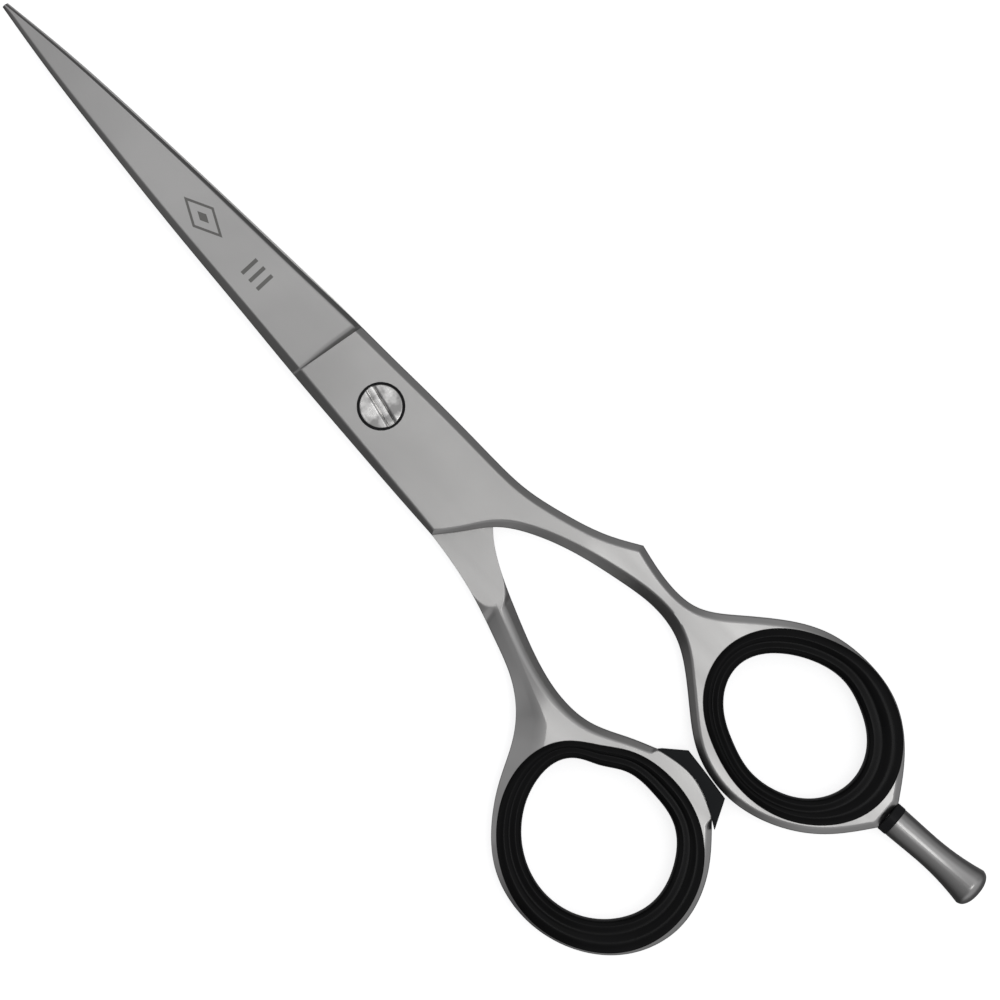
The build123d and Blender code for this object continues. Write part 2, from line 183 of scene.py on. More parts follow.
def spline(points, at):
    """A cubic through the points with chord lengths as its parameter and no bend at its ends.

    at counts the points: 2.5 is between the third and the fourth. Gives places and unit directions.
    """
    p = np.asarray(points, float)
    n = len(p)
    step = np.linalg.norm(np.diff(p, axis=0), axis=1)
    knots = np.concatenate([[0], np.cumsum(step)])
    bend = np.zeros_like(p)
    if n > 2:
        system = np.eye(n)
        i = np.arange(1, n - 1)
        system[i, i - 1] = step[:-1]
        system[i, i] = 2 * (step[:-1] + step[1:])
        system[i, i + 1] = step[1:]
        right = np.zeros_like(p)
        right[1:-1] = 6 * np.diff(np.diff(p, axis=0) / step[:, None], axis=0)
        bend = np.linalg.solve(system, right)
    t = np.interp(at, np.arange(n), knots)
    k = np.clip(np.searchsorted(knots, t, side="right") - 1, 0, n - 2)
    u = (t - knots[k])[:, None]
    w = (knots[k + 1] - t)[:, None]
    h = step[k][:, None]
    place = ((bend[k] * w**3 + bend[k + 1] * u**3) / (6 * h)
             + (p[k] / h - bend[k] * h / 6) * w + (p[k + 1] / h - bend[k + 1] * h / 6) * u)
    slope = ((bend[k + 1] * u**2 - bend[k] * w**2) / (2 * h) + (p[k + 1] - p[k]) / h
             - h * (bend[k + 1] - bend[k]) / 6)
    return place, slope / np.linalg.norm(slope, axis=1)[:, None]


def broken_spline(points, corners, at):
    """A spline that starts afresh at each corner. Gives places, and directions just before and after."""
    ends = [0, *corners, len(points) - 1]
    place = np.zeros((len(at), 2))
    after = np.zeros((len(at), 2))
    before = np.zeros((len(at), 2))
    for a, b in zip(ends[:-1], ends[1:]):
        on = (at >= a) & (at <= b)
        spot, way = spline(points[a:b + 1], at[on] - a)
        place[on] = spot
        after[on] = way
        fresh = on & (at > a)
        before[fresh] = way[at[on] > a]
    first = at <= 0
    before[first] = after[first]
    return place, before, after


def ring_radius(points, centre, angle):
    """Distance of a closed outline from its centre at each angle: a periodic cubic through the points."""
    d = np.asarray(points, float) - centre
    turn = np.arctan2(d[:, 1], d[:, 0])
    order = np.argsort(turn)
    turn = turn[order]
    reach = np.hypot(d[:, 0], d[:, 1])[order]
    n = len(turn)
    step = np.diff(np.append(turn, turn[0] + 2 * np.pi))
    system = np.zeros((n, n))
    i = np.arange(n)
    system[i, (i - 1) % n] = step[(i - 1) % n]
    system[i, i] = 2 * (step[(i - 1) % n] + step)
    system[i, (i + 1) % n] = step
    slope = (np.roll(reach, -1) - reach) / step
    bend = np.linalg.solve(system, 6 * (slope - np.roll(slope, 1)))
    a = (np.asarray(angle) - turn[0]) % (2 * np.pi) + turn[0]
    k = np.clip(np.searchsorted(turn, a, side="right") - 1, 0, n - 1)
    ahead = (k + 1) % n
    u = a - turn[k]
    h = step[k]
    w = h - u
    return ((bend[k] * w**3 + bend[ahead] * u**3) / (6 * h)
            + (reach[k] / h - bend[k] * h / 6) * w + (reach[ahead] / h - bend[ahead] * h / 6) * u)


# ---------------------------------------------------------------------------------------------------------
# Meshes

def grid_faces(start, rows, columns, wrap_rows, wrap_columns):
    """Quads over a grid of rows times columns points, numbered from start."""
    r = np.arange(rows if wrap_rows else rows - 1)
    c = np.arange(columns if wrap_columns else columns - 1)
    r, c = [v.ravel() for v in np.meshgrid(r, c, indexing="ij")]
    r2 = (r + 1) % rows
    c2 = (c + 1) % columns
    return start + np.stack([r * columns + c, r2 * columns + c, r2 * columns + c2, r * columns + c2], 1)


def mesh_piece(name, grids, weld=1e-6, sharp=35.0):
    """One closed object from grids of points in millimetres, each (points, wrap_rows, wrap_columns).

    Shared borders are welded, the faces are turned outwards, and edges over the sharp angle stay crisp.
    """
    points = []
    faces = []
    count = 0
    for grid, wrap_rows, wrap_columns in grids:
        rows, columns = grid.shape[:2]
        points.append(grid.reshape(-1, 3) * MM)
        faces.append(grid_faces(count, rows, columns, wrap_rows, wrap_columns))
        count += rows * columns
    mesh = bpy.data.meshes.new(name)
    mesh.from_pydata(np.concatenate(points).tolist(), [], np.concatenate(faces).tolist())
    work = bmesh.new()
    work.from_mesh(mesh)
    bmesh.ops.remove_doubles(work, verts=work.verts, dist=weld)
    bmesh.ops.dissolve_degenerate(work, edges=work.edges, dist=weld / 2)
    bmesh.ops.recalc_face_normals(work, faces=work.faces)
    if not all(edge.is_manifold for edge in work.edges):
        raise RuntimeError(f"{name} has an open edge")
    work.to_mesh(mesh)
    work.free()
    mesh.polygons.foreach_set("use_smooth", np.ones(len(mesh.polygons), bool))
    mesh.set_sharp_from_angle(angle=math.radians(sharp))
    mesh.update()
    piece = bpy.data.objects.new(name, mesh)
    bpy.context.scene.collection.objects.link(piece)
    return piece


def finish_piece(piece, material, body, slot, *nodes):
    """Gives the piece its material and the body it rides on, and hides the CAD nodes it stands for. slot is
    not used.
    """
    piece.data.materials.clear()
    piece.data.materials.append(material)
    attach(piece, body)
    if nodes:
        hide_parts(*nodes)


# ---------------------------------------------------------------------------------------------------------
# The steel halves

SIDE_SIGN = {"spine": 1, "edge": -1}


def half_thickness(x):
    """Half the shank's thickness about the meeting plane: full at the pivot, thinner at the ring."""
    return FULL - (FULL - RING) * ease((-30 - x) / 14)


def outer_height(x, y):
    """Height of the outer face: the shank's level face, then the blade's sloping one.

    The blade's grind starts at the notch with a hollow run-out, a quarter of an ellipse. Its width is 0.8
    times the square root of its depth.
    """
    base = half_thickness(x)
    blade = RIDE + 1.65 - 0.015 * (x - NOTCH_X) + 0.143 * y
    past = x - (NOTCH_X + NOTCH_LEAN * y)
    depth = np.clip(base - blade, 0.02, None)
    near_start = 1 - np.clip(past / (0.8 * np.sqrt(depth)), 0, 1)
    fall = 1 - np.sqrt(1 - near_start**2)
    return np.where(past > 0, blade + (base - blade) * fall, base)


def inner_crest(x):
    """Height of the inner face: flat where the other half rides, then rising to the ring's inner face."""
    return RIDE - (RING + RIDE) * ease((-28.4 - x) / 14)


def seat_share(side, x, seat):
    """1 along an outline, down to a small share where the stop sits against it."""
    if side == "edge" or not seat:
        return 1 + 0 * x
    return 1 - 0.88 * ease((seat[0] + 0.6 - x) / 0.8) * ease((x - seat[1] + 0.6) / 0.8)


def outer_break(side, x, y):
    """The outer face's edge break: its width, how far it falls, and how much of it is the blade's bevel.

    The bevel falls to the cutting edge, whatever the height of the face beside it.
    """
    if side == "spine":
        wide = np.interp(x, [-70, -52, -46, -37, -31, -22, -17, -12, 10, 70],
                         [0.8, 0.95, 1.3, 1.3, 1.15, 0.95, 0.6, 0.8, 1.15, 0.45])
        slope = np.interp(x, [-72, -58, -46, -40, -36, -31, -28, -24, 10, 70],
                          [0.9, 1.1, 1.45, 1.35, 0.95, 0.66, 0.66, 1.0, 0.8, 0.75])
        return wide, wide * slope, 0 * x
    on_blade = ease((x - NOTCH_X - NOTCH_LEAN * y) / 0.6)
    body = np.interp(x, [-70, -44, -30, 9], [0.8, 0.85, 0.9, 0.95])
    bevel = np.interp(x, [9, 70], [0.62, 0.22])
    return body + (bevel - body) * on_blade, 0.9 * body, on_blade


def inner_break(side, x):
    """The inner face's edge break: its width, how far it falls, and how widely its inner edge is rounded.

    It starts as nothing on the flat and widens as an ellipse does from its end, so that the flat ends in a
    rounded nose. From there the two sides' breaks meet in a ridge, which opens into a flat at the ring.
    """
    start, reach, full = (-25.4, 3.5, 1.35) if side == "spine" else (-24.6, 4.3, 2.5)
    nose = full * (1 - np.sqrt(1 - np.clip((start - x) / reach, 0, 0.999)**2))
    if side == "spine":
        shank = np.interp(x, [-70, -55, -43, -35, -29], [0.8, 0.85, 1.1, 1.3, 1.35])
        slope = np.interp(x, [-60, -48, -30, -27], [0.875, 1.05, 1.1, 0.8])
    else:
        shank = np.interp(x, [-70, -56, -50, -46, -42, -38, -29], [0.8, 0.85, 1.6, 2.7, 3.2, 3.0, 2.6])
        slope = np.interp(x, [-70, -56, -50, -44, -29], [0.875, 0.75, 0.42, 0.34, 0.42])
    wide = np.maximum(np.where(x > start - reach, nose, shank), 0.03)
    return wide, slope * wide, np.interp(x, [-52, -42, -30, -27], [0, 1, 1, 0])


def face_grid(outer, inner, slant, side, inward, seat):
    """One face of one side of a half: heights on rays from the outline in to the middle, bore or hole.

    slant is the sine of the angle between a ray and the outline, so a depth over slant is a distance along
    the ray. Lines close to each corner of the break round it off, and lines a little further away hold the
    faces level. blend is the inner break's rounding, or the outer one's share of the blade's bevel.
    """
    x, y = outer.T
    wide, fall, blend = inner_break(side, x) if inward else outer_break(side, x, y)
    wide = wide * seat_share(side, x, seat)
    fall = fall * seat_share(side, x, seat)
    ray = inner - outer
    long = np.linalg.norm(ray, axis=1)
    ray = ray / long[:, None]
    wide = np.minimum(wide, 0.9 * long * slant)
    near = np.minimum(0.05, 0.12 * wide)
    hold = np.minimum(0.16, 0.3 * wide)
    soft = near + blend * 0.22 * wide if inward else near
    depth = np.stack([0 * wide, near, hold, wide - hold - soft, wide - soft, wide + soft,
                      wide + hold + soft], 1)
    depth = depth / slant[:, None]
    share = np.clip(depth * (slant / wide)[:, None], 0, 1)
    depth = np.minimum(depth, long[:, None])
    inside = np.linspace(0, 1, 15)[1:]
    rest = depth[:, -1:] + (long[:, None] - depth[:, -1:]) * inside
    depth = np.concatenate([depth, rest], 1)
    share = np.concatenate([share, np.ones_like(rest)], 1)
    at = outer[:, None] + ray[:, None] * depth[..., None]
    corner = outer + ray * (wide / slant)[:, None]
    if inward:
        flat = inner_crest(at[..., 0])
        level = inner_crest(corner[:, 0])
        low = level + fall
    else:
        flat = outer_height(at[..., 0], at[..., 1])
        level = outer_height(corner[:, 0], corner[:, 1])
        low = (level - fall) * (1 - blend) + (RIDE + EDGE_LAND) * blend
    height = np.where(share < 1, low[:, None] + (level - low)[:, None] * share, flat)
    return np.dstack([at, height])


def build_half(name, spine_side, edge_side, far, corners, pairs, centre, hole, near_angle, bore, seat,
               turned):
    """A steel half: two strips of rays, one on each side of its middle, that part round the bore and hole.

    A ray runs from the outline to the middle, which is half way to the facing outline and slides on to the
    bore or the ring's hole where there is one. Both faces of both strips are closed by walls along the
    outline, the bore, the hole and the tip. A turned half is laid over about its length.

    The first pairs points of the two sides face each other, and the rest go round the ring. corners counts
    the points where the outline turns sharply. near_angle is the direction in which the ring's first ray
    meets its hole. seat is the stretch of x where the outline's breaks nearly vanish, or None.
    """
    loop = spine_side + far + edge_side[::-1]
    last = len(loop) - 1
    body_span = np.linalg.norm(np.diff(np.array(spine_side[:pairs], float), axis=0), axis=1)
    parts = [np.linspace(k, k + 1, max(2, int(np.ceil(s / BODY_STEP))), endpoint=False)
             for k, s in enumerate(body_span)]
    dense = NOTCH_PAIR - np.array(NOTCH_ROWS) / NOTCH_SPAN
    body = np.unique(np.concatenate([*parts, dense]).round(9))
    start = pairs - 1
    grids = []
    for side, sign in SIDE_SIGN.items():
        ring_points = np.array((spine_side if side == "spine" else edge_side)[start:] + far, float)
        ring_span = np.linalg.norm(np.diff(ring_points, axis=0), axis=1)
        parts = [np.linspace(k, k + 1, max(2, int(np.ceil(s / RING_STEP))), endpoint=False)
                 for k, s in enumerate(ring_span)]
        at = np.concatenate([body, start + np.concatenate(parts), [start + len(ring_span)]])
        along = at if side == "spine" else last - at
        outer, before, after = broken_spline(loop, corners, along)
        mirror = last - along
        mirror = np.clip(mirror, last - start, last) if side == "spine" else np.clip(mirror, 0, start)
        across = broken_spline(loop, corners, mirror)[0]
        middle = (outer + across) / 2
        around = (at >= PIVOT_FROM) & (at <= PIVOT_TO)
        ring = at >= start
        settle = np.interp(at, [start, start + 2], [1, 0])**1.5
        d = outer - centre
        angle = np.arctan2(d[:, 1], d[:, 0])
        angle = near_angle + (angle - near_angle + np.pi) % (2 * np.pi) - np.pi
        first_ring = np.flatnonzero(ring)[0]
        angle[ring] = np.unwrap(angle[ring])
        angle = angle + (near_angle - angle[first_ring]) * settle
        reach = ring_radius(hole, centre, angle) + RIM
        rim = centre + reach[:, None] * np.stack([np.cos(angle), np.sin(angle)], 1)
        for face, radius in ((0, bore[0][0]), (1, bore[-1][0])):
            ends = np.array([[radius, 0.0], [-radius, 0.0], rim[first_ring]])
            rows = [np.argmin(np.abs(at - s)) for s in (PIVOT_FROM, PIVOT_TO, start)]
            shift = ends - middle[rows]
            knots = [PIVOT_FROM - 1, PIVOT_FROM, PIVOT_TO, PIVOT_TO + 1, start - 1, start]
            table = np.array([[0, 0], shift[0], shift[1], [0, 0], [0, 0], shift[2]])
            slide = np.stack([np.interp(at, knots, table[:, i]) for i in (0, 1)], 1)
            inner = middle + slide
            turn = np.pi * (at[around] - PIVOT_FROM)
            inner[around] = radius * np.stack([np.cos(turn), sign * np.sin(turn)], 1)
            inner[ring] = rim[ring]
            ray = inner - outer
            ray = ray / np.linalg.norm(ray, axis=1)[:, None]
            slants = [np.abs(ray[:, 0] * way[:, 1] - ray[:, 1] * way[:, 0]) for way in (before, after)]
            slant = np.clip((slants[0] + slants[1]) / 2, 0.35, 1)
            grid = face_grid(outer, inner, slant, side, face == 1, seat)
            if face == 0:
                top = grid
            else:
                low = grid
        gap = top[:, 0, 2] - low[:, 0, 2]
        if gap.min() < 0:
            raise RuntimeError(f"{name}'s faces cross along its outline")
        bite = np.minimum(0.06, 0.2 * gap)
        top[:, 0, 2] -= bite
        low[:, 0, 2] += bite
        share = np.array([0, 0.1, 0.5, 0.9, 1])
        wall = top[:, :1] + (low[:, :1] - top[:, :1]) * share[None, :, None]
        tip = top[0] + (low[0] - top[0]) * share[:, None, None]
        grids += [top, low, wall, tip]
        grids.append(np.stack([top[ring, -1], low[ring, -1]]))
        rows = np.flatnonzero(around)
        bank = [top[rows, -1]]
        turn = np.pi * (at[rows] - PIVOT_FROM)
        for radius, height in bore[1:-1]:
            bank.append(np.stack([radius * np.cos(turn), sign * radius * np.sin(turn),
                                  np.full(len(rows), height)], 1))
        bank.append(low[rows, -1])
        grids.append(np.stack(bank))
    placed = []
    for grid in grids:
        grid = grid * (np.array([1, -1, -1]) if turned else 1)
        placed.append((grid + np.array([0, 0, MATE_Z]), False, False))
    return mesh_piece(name, placed)


# ---------------------------------------------------------------------------------------------------------
# The ring grips

def build_grip(name, centre, hole, flange, turned):
    """A rubber grip: a channel's profile carried round a ring, with two flanges that hold the metal.

    The profile runs from the bore's middle over a bead, a valley and the flange's crown, and back in to
    the groove, and then the same again mirrored. A point's distance out from the hole is its first number,
    and its second times the rubber's width there.
    """
    turn = np.linspace(0, 2 * np.pi, 288, endpoint=False)
    inner = ring_radius(hole, centre, turn)
    wide = ring_radius(flange, centre, turn) - inner
    profile, _ = spline(GRIP_PROFILE, np.linspace(0, len(GRIP_PROFILE) - 1, 60))
    fixed, share, height = profile.T
    groove = np.array(GRIP_GROOVE).T
    fixed, share, height = [np.concatenate([a, b]) for a, b in zip((fixed, share, height), groove)]
    across = fixed + share * wide[:, None]
    across = np.concatenate([across, across[:, ::-1]], 1)
    height = np.concatenate([height, -height[::-1]])
    reach = inner[:, None] + across
    ring = np.dstack([centre[0] + reach * np.cos(turn)[:, None],
                      centre[1] + reach * np.sin(turn)[:, None],
                      np.broadcast_to(height, reach.shape)])
    if turned:
        ring = ring * np.array([1, -1, -1])
    return mesh_piece(name, [(ring + np.array([0, 0, MATE_Z]), True, True)], sharp=60)


# ---------------------------------------------------------------------------------------------------------
# The stop

def build_stop():
    """The rubber stop: a rounded block's section carried along it, from its blunt end to its pointed one.

    The section runs between the seat's curve and the striking side. Its corners are quarter circles, and
    its two ends are closed on their own middles.
    """
    at = np.linspace(0, 1, 49)
    seat, _ = spline(STOP_SEAT, np.interp(at, [0, 0.25, 0.75, 1], [0, 0.5, 1.85, 3]))
    strike, _, _ = broken_spline(STOP_STRIKE, STOP_CORNERS, at * (len(STOP_STRIKE) - 1))
    width = np.linalg.norm(strike - seat, axis=1)[:, None]
    quarter = np.linspace(0, np.pi / 2, 6)
    blunt = np.minimum(STOP_ROUND, 0.4 * width)
    crisp = np.minimum(STOP_CRISP, 0.2 * width)
    out = np.concatenate([crisp * (1 - np.cos(quarter)), width - blunt * (1 - np.sin(quarter))], 1)
    up = STOP_HALF - np.concatenate([crisp * (1 - np.sin(quarter)), blunt * (1 - np.cos(quarter))], 1)
    out = np.concatenate([out, out[:, ::-1]], 1)
    up = np.concatenate([up, -up[:, ::-1]], 1)
    plan = seat[:, None] + (strike - seat)[:, None] * (out / width)[..., None]
    block = np.dstack([plan, up + MATE_Z])
    first, last = [np.repeat(block[k].mean(0)[None, None], block.shape[1], 1) for k in (0, -1)]
    return mesh_piece("ring_stop", [(np.concatenate([first, block, last]), False, True)])


# ---------------------------------------------------------------------------------------------------------
# The pivot screw

def build_screw():
    """The screw: a slotted head's top over its chords, and the rest carried round the same rim angles.

    The chords run along the slot. A chord's points are at its half length times the sine of an angle,
    raised to the power 0.8, and the top falls there by the slot's profile: a fine lip, a steep side, and a
    floor with a groove along each side. The head's rim is broken all round.
    """
    across = np.array(HEAD_CHORDS)
    fall = np.interp(across, SLOT_PLACES, SLOT_FALLS)
    across = np.concatenate([-across[:0:-1], across])
    fall = np.concatenate([fall[:0:-1], fall])
    chord = np.sqrt(np.clip(HEAD_R**2 - across**2, 0, None))
    along = np.sin(np.linspace(-np.pi / 2, np.pi / 2, 61))
    along = np.sign(along) * np.abs(along)**0.8
    x = chord[:, None] * along
    y = np.repeat(across[:, None], len(along), 1)
    rim = HEAD_R - np.hypot(x, y)
    z = HEAD_TOP - np.maximum(fall[:, None], RIM_BREAK * np.clip(1 - rim / RIM_BREAK, 0, 1)**1.5)
    top = np.dstack([x, y, z])
    loop = np.concatenate([top[:, -1], top[-2:0:-1, 0]])
    turn = np.arctan2(loop[:, 1], loop[:, 0])
    rows = [loop]
    for radius, height in SCREW_BODY:
        rows.append(np.stack([radius * np.cos(turn), radius * np.sin(turn), np.full(len(turn), height)], 1))
    side = np.stack(rows)
    angle = math.radians(SLOT_TURN)
    turned = np.array([[math.cos(angle), math.sin(angle), 0],
                       [-math.sin(angle), math.cos(angle), 0],
                       [0, 0, 1]])
    return mesh_piece("slotted_screw", [(top @ turned, False, False), (side @ turned, False, True)])


# ---------------------------------------------------------------------------------------------------------
# Materials

def new_material(name, colour, metallic, roughness):
    """A material with its shader, and a texture coordinate node to read patterns from."""
    material = bpy.data.materials.new(f"shears_{name}")
    material.use_nodes = True
    tree = material.node_tree
    shader = tree.nodes["Principled BSDF"]
    shader.inputs["Base Color"].default_value = (*colour, 1)
    shader.inputs["Metallic"].default_value = metallic
    shader.inputs["Roughness"].default_value = roughness
    place = tree.nodes.new("ShaderNodeTexCoord")
    return material, tree, shader, place.outputs["Object"]


def noise(tree, place, scale, detail=2.0, stretch=None):
    """A noise pattern on the object's own coordinates, drawn out by stretch along each axis."""
    node = tree.nodes.new("ShaderNodeTexNoise")
    node.inputs["Scale"].default_value = scale
    node.inputs["Detail"].default_value = detail
    if stretch is not None:
        mapping = tree.nodes.new("ShaderNodeMapping")
        mapping.inputs["Scale"].default_value = stretch
        tree.links.new(place, mapping.inputs["Vector"])
        place = mapping.outputs["Vector"]
    tree.links.new(place, node.inputs["Vector"])
    return node.outputs["Fac"]


def spread(tree, value, low, high, to_low, to_high):
    """Maps a value's range low to high on to another range, clamped."""
    node = tree.nodes.new("ShaderNodeMapRange")
    node.inputs["From Min"].default_value = low
    node.inputs["From Max"].default_value = high
    node.inputs["To Min"].default_value = to_low
    node.inputs["To Max"].default_value = to_high
    tree.links.new(value, node.inputs["Value"])
    return node.outputs["Result"]


def blend_colours(tree, value, first, second):
    """A colour between two, by a value from 0 to 1."""
    node = tree.nodes.new("ShaderNodeMix")
    node.data_type = "RGBA"
    for socket in node.inputs:
        if socket.type == "RGBA" and socket.name == "A":
            socket.default_value = (*first, 1)
        if socket.type == "RGBA" and socket.name == "B":
            socket.default_value = (*second, 1)
    tree.links.new(value, node.inputs["Factor"])
    return next(s for s in node.outputs if s.type == "RGBA")


def bump(tree, shader, height, distance, strength, under=None):
    """Adds a bump of that height in metres to the shader, over another if one is given."""
    node = tree.nodes.new("ShaderNodeBump")
    node.inputs["Distance"].default_value = distance
    node.inputs["Strength"].default_value = strength
    tree.links.new(height, node.inputs["Height"])
    if under is not None:
        tree.links.new(under, node.inputs["Normal"])
    tree.links.new(node.outputs["Normal"], shader.inputs["Normal"])
    return node.outputs["Normal"]


def calculate(tree, operation, *values):
    """A maths node on numbers or other nodes' values."""
    node = tree.nodes.new("ShaderNodeMath")
    node.operation = operation
    for socket, value in zip(node.inputs, values):
        if isinstance(value, (int, float)):
            socket.default_value = value
        else:
            tree.links.new(value, socket)
    return node.outputs["Value"]


def etched_ornament(tree, place):
    """1 on the blade's etched ornament: a slim lozenge's outline round a small one, and three bars.

    A place is in a lozenge when its distances along and across, each over its own half size, add up to
    less than 1.
    """
    split = tree.nodes.new("ShaderNodeSeparateXYZ")
    tree.links.new(place, split.inputs["Vector"])
    along = calculate(tree, "DIVIDE", split.outputs["X"], MM)
    across = calculate(tree, "DIVIDE", split.outputs["Y"], MM)
    far = calculate(tree, "ABSOLUTE", calculate(tree, "SUBTRACT", along, LOZENGE_X))
    out = calculate(tree, "ABSOLUTE", across)
    total = calculate(tree, "ADD", calculate(tree, "DIVIDE", far, LOZENGE_LONG),
                      calculate(tree, "DIVIDE", out, LOZENGE_WIDE))
    mark = calculate(tree, "MAXIMUM", calculate(tree, "COMPARE", total, 0.9, 0.1),
                     calculate(tree, "LESS_THAN", total, 0.3))
    short = calculate(tree, "LESS_THAN", out, BAR_HALF_LONG)
    for bar_x in BARS_X:
        bar = calculate(tree, "COMPARE", along, bar_x, BAR_HALF_WIDE)
        mark = calculate(tree, "MAXIMUM", mark, calculate(tree, "MULTIPLY", bar, short))
    outer = calculate(tree, "GREATER_THAN", split.outputs["Z"], (MATE_Z + 2 * RIDE) * MM)
    return calculate(tree, "MULTIPLY", mark, outer)


def satin_steel(name, look, etched):
    """Blasted and brushed steel: fine grain, faint lines along the blade, and slow cloudy changes."""
    _, tree, shader, place = new_material(name, look.steel_colour, 1.0, look.steel_roughness)
    cloud = noise(tree, place, 38, 3)
    lines = noise(tree, place, 260, 3, (0.06, 1, 1))
    grain = noise(tree, place, 6500, 1)
    first = [c * 0.84 for c in look.steel_colour]
    second = [min(1, c * 1.04) for c in look.steel_colour]
    colour = blend_colours(tree, spread(tree, cloud, 0.35, 0.65, 0, 1), first, second)
    if etched:
        dark = blend_colours(tree, etched_ornament(tree, place), (1, 1, 1), (0.36, 0.36, 0.35))
        both = tree.nodes.new("ShaderNodeVectorMath")
        both.operation = "MULTIPLY"
        tree.links.new(colour, both.inputs[0])
        tree.links.new(dark, both.inputs[1])
        colour = both.outputs["Vector"]
    tree.links.new(colour, shader.inputs["Base Color"])
    rough = look.steel_roughness
    tree.links.new(spread(tree, lines, 0.3, 0.7, rough * 0.88, rough * 1.12), shader.inputs["Roughness"])
    under = bump(tree, shader, lines, 0.00002, 0.12)
    bump(tree, shader, grain, 0.000008, 0.35, under)


def polished_steel(look):
    """Polished steel that handling has dulled in patches, its colour swinging in patches between light and
    dark copies of the steel as painted reflections.
    """
    _, tree, shader, place = new_material("polished_steel", look.steel_colour, 1.0, 0.3)
    cloud = noise(tree, place, 420, 3)
    lines = noise(tree, place, 2600, 2, (1, 1, 0.1))
    # Painted reflections: a light and a dark copy of the steel's colour, mixed in patches to stand in for
    # blotchy reflections.
    painted_reflection_light = [min(1, c * 1.6) for c in look.steel_colour]
    painted_reflection_dark = [c * 0.7 for c in look.steel_colour]
    tree.links.new(blend_colours(tree, spread(tree, cloud, 0.42, 0.6, 0, 1), painted_reflection_light, painted_reflection_dark),
                   shader.inputs["Base Color"])
    tree.links.new(spread(tree, cloud, 0.35, 0.65, 0.22, 0.4), shader.inputs["Roughness"])
    bump(tree, shader, lines, 0.00002, 0.15)


def soft_black(name, colour, roughness, scale, depth):
    """Moulded rubber or nylon: a fine grain in its skin, and slightly uneven gloss and colour."""
    _, tree, shader, place = new_material(name, colour, 0.0, roughness)
    grain = noise(tree, place, scale, 2)
    cloud = noise(tree, place, 160, 3)
    light = [c * 1.5 for c in colour]
    shader.inputs["Specular IOR Level"].default_value = 0.14
    tree.links.new(blend_colours(tree, spread(tree, cloud, 0.35, 0.65, 0, 1), colour, light),
                   shader.inputs["Base Color"])
    tree.links.new(spread(tree, cloud, 0.3, 0.7, roughness * 0.85, roughness * 1.2),
                   shader.inputs["Roughness"])
    bump(tree, shader, grain, depth, 0.2)


def finish(name):
    """A finish that an earlier operator made."""
    return bpy.data.materials[f"shears_{name}"]


# ---------------------------------------------------------------------------------------------------------
# What a user sets

class ShearsSteel(PropertyGroup):
    steel_colour: FloatVectorProperty(
        name="Steel", description="Colour of the steel", subtype="COLOR", size=3, min=0, max=1,
        default=(0.56, 0.555, 0.545))
    steel_roughness: FloatProperty(
        name="Satin", description="Roughness of the satin steel", min=0.05, max=1, default=0.34)


class ShearsRubber(PropertyGroup):
    grip_colour: FloatVectorProperty(
        name="Grips", description="Colour of the ring grips", subtype="COLOR", size=3, min=0, max=1,
        default=(0.0035, 0.0035, 0.0037))
    stop_colour: FloatVectorProperty(
        name="Stop", description="Colour of the rubber stop", subtype="COLOR", size=3, min=0, max=1,
        default=(0.012, 0.013, 0.014))


class ShearsStage(PropertyGroup):
    distance: FloatProperty(
        name="Distance", description="Camera's distance from the shears", unit="LENGTH", min=0.2, default=0.8)
    frame_width: FloatProperty(
        name="Frame", description="Width of the view at the shears", unit="LENGTH", min=0.02, default=0.1269)
    floor_size: FloatProperty(
        name="Floor", description="Side of the floor", unit="LENGTH", min=0.5, default=6.0)


# ---------------------------------------------------------------------------------------------------------
# Operators

class SHEARS_OT_finishes(Operator):
    """Make the steel, rubber and nylon finishes."""
    bl_idname = "shears.finishes"
    bl_label = "Finishes"

    def execute(self, context):
        steel = context.scene.shears_steel
        rubber = context.scene.shears_rubber
        satin_steel("satin_steel", steel, False)
        satin_steel("etched_steel", steel, True)
        polished_steel(steel)
        soft_black("black_rubber", list(rubber.grip_colour), 0.28, 4200, 0.00001)
        soft_black("stop_rubber", list(rubber.stop_colour), 0.5, 3600, 0.00002)
        soft_black("black_nylon", [0.01, 0.01, 0.011], 0.36, 5200, 0.00001)
        return {"FINISHED"}


class SHEARS_OT_halves(Operator):
    """Build the two ground steel halves, each with its blade, shank and ring."""
    bl_idname = "shears.halves"
    bl_label = "Steel halves"

    def execute(self, context):
        finger = build_half(
            "finger_blade_and_ring", FINGER_SPINE, FINGER_EDGE, FINGER_FAR, FINGER_CORNERS, FINGER_PAIRS,
            FINGER_CENTRE, FINGER_HOLE, FINGER_NEAR, FINGER_BORE, None, False)
        finish_piece(finger, finish("etched_steel"), "finger_side", "satin_steel", "finger_half")
        thumb = build_half(
            "thumb_blade_and_ring", THUMB_SPINE, THUMB_EDGE, THUMB_FAR, THUMB_CORNERS, THUMB_PAIRS,
            THUMB_CENTRE, THUMB_HOLE, THUMB_NEAR, THUMB_BORE, THUMB_SEAT, True)
        finish_piece(thumb, finish("satin_steel"), "thumb_side", "satin_steel", "thumb_half")
        return {"FINISHED"}


class SHEARS_OT_grips(Operator):
    """Build the rubber grips that line the two rings."""
    bl_idname = "shears.grips"
    bl_label = "Ring grips"

    def execute(self, context):
        rubber = finish("black_rubber")
        finger = build_grip("finger_grip", FINGER_CENTRE, FINGER_HOLE, FINGER_FLANGE, False)
        finish_piece(finger, rubber, "finger_side", "black_rubber", "finger_ring_insert")
        thumb = build_grip("thumb_grip", THUMB_CENTRE, THUMB_HOLE, THUMB_FLANGE, True)
        finish_piece(thumb, rubber, "thumb_side", "black_rubber", "thumb_ring_insert")
        return {"FINISHED"}


class SHEARS_OT_stop(Operator):
    """Build the rubber stop between the rings."""
    bl_idname = "shears.stop"
    bl_label = "Ring stop"

    def execute(self, context):
        finish_piece(build_stop(), finish("stop_rubber"), "thumb_side", "stop_rubber", "bumper")
        return {"FINISHED"}


